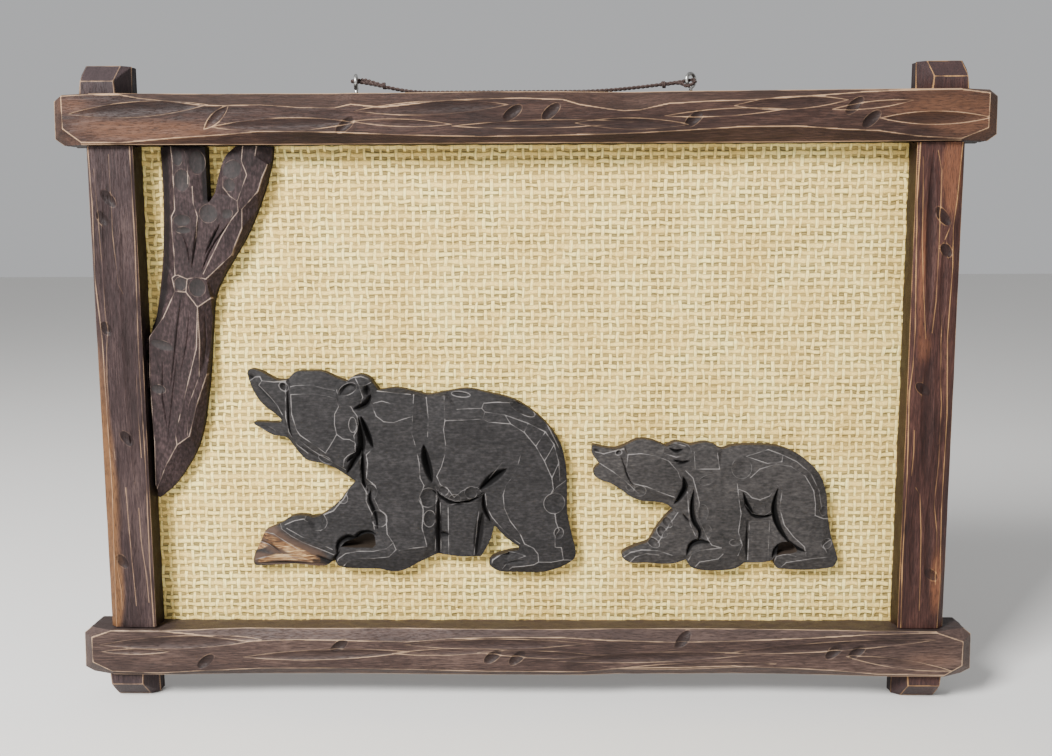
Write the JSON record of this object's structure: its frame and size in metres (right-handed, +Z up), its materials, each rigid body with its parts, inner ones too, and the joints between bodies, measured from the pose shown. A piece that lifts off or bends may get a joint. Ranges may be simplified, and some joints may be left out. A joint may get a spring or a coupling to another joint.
{
  "type": "framed carved wood bear relief wall plaque",
  "caption": "Carved wooden relief of a bear and cub under a forked tree, on woven grasscloth, in a hewn crossed-corner frame with screw eyes and a hanging cord.",
  "frame": {"origin": "centre of the top rail's back face, where the plaque hangs against the wall", "axes": "+X to the viewer's right along the rails, +Y into the wall (the carved side faces -Y), +Z up"},
  "size_m": [0.47, 0.022, 0.3315],
  "materials": {
    "frame_wood": "dark brown stain rubbed through to pale wood along the hewn edges, satin wax",
    "backing_board": "bare brown hardboard",
    "woven_cloth": "plain-woven paper grasscloth, matte straw",
    "tree_wood": "dark brown stain, edges rubbed pale",
    "bear_wood": "charcoal stain, matte, edges rubbed grey",
    "screw_eye": "bright zinc-plated wire, slightly dulled",
    "cord": "twisted two-ply cotton cord, dark brown"
  },
  "bodies": {
    "root": {"top_rail": "frame_wood", "bottom_rail": "frame_wood", "left_stile": "frame_wood", "right_stile": "frame_wood", "backing_board": "backing_board", "woven_cloth": "woven_cloth", "carved_tree": "tree_wood", "mother_bear": "bear_wood", "bear_cub": "bear_wood", "screw_eye_left": "screw_eye", "screw_eye_right": "screw_eye", "hanging_cord": "cord"}
  },
  "joints": []
}
